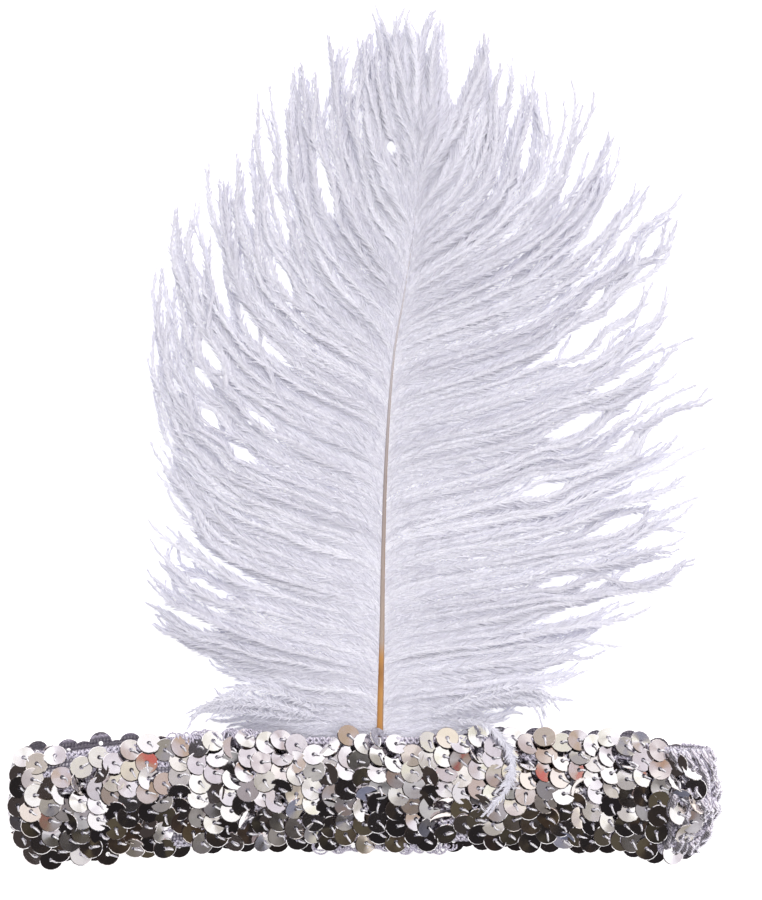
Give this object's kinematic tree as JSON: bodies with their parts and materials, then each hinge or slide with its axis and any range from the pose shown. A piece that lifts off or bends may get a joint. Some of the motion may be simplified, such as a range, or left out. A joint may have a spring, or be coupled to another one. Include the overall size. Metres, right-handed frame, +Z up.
{
  "type": "flapper headband",
  "caption": "Stretch loop headband covered in silver sequins, lying flat, with a white ostrich plume tucked in behind the front of the band.",
  "frame": {"origin": "on the table, under the middle of the flattened band", "axes": "+X along the band to the viewer's right, +Y from the band towards the plume's tip, +Z up from the table"},
  "size_m": [0.1836, 0.2178, 0.0165],
  "materials": {
    "elastic": "knitted stretch elastic with silver thread",
    "sequin": "metallised plastic film, mirror bright",
    "quill": "horn, satin",
    "plume": "ostrich barbs, soft and matt"
  },
  "bodies": {
    "root": {"elastic_band": "elastic", "sequins_front": "sequin", "sequins_back": "sequin", "quill": "quill", "plume_vane": "plume"}
  },
  "joints": []
}
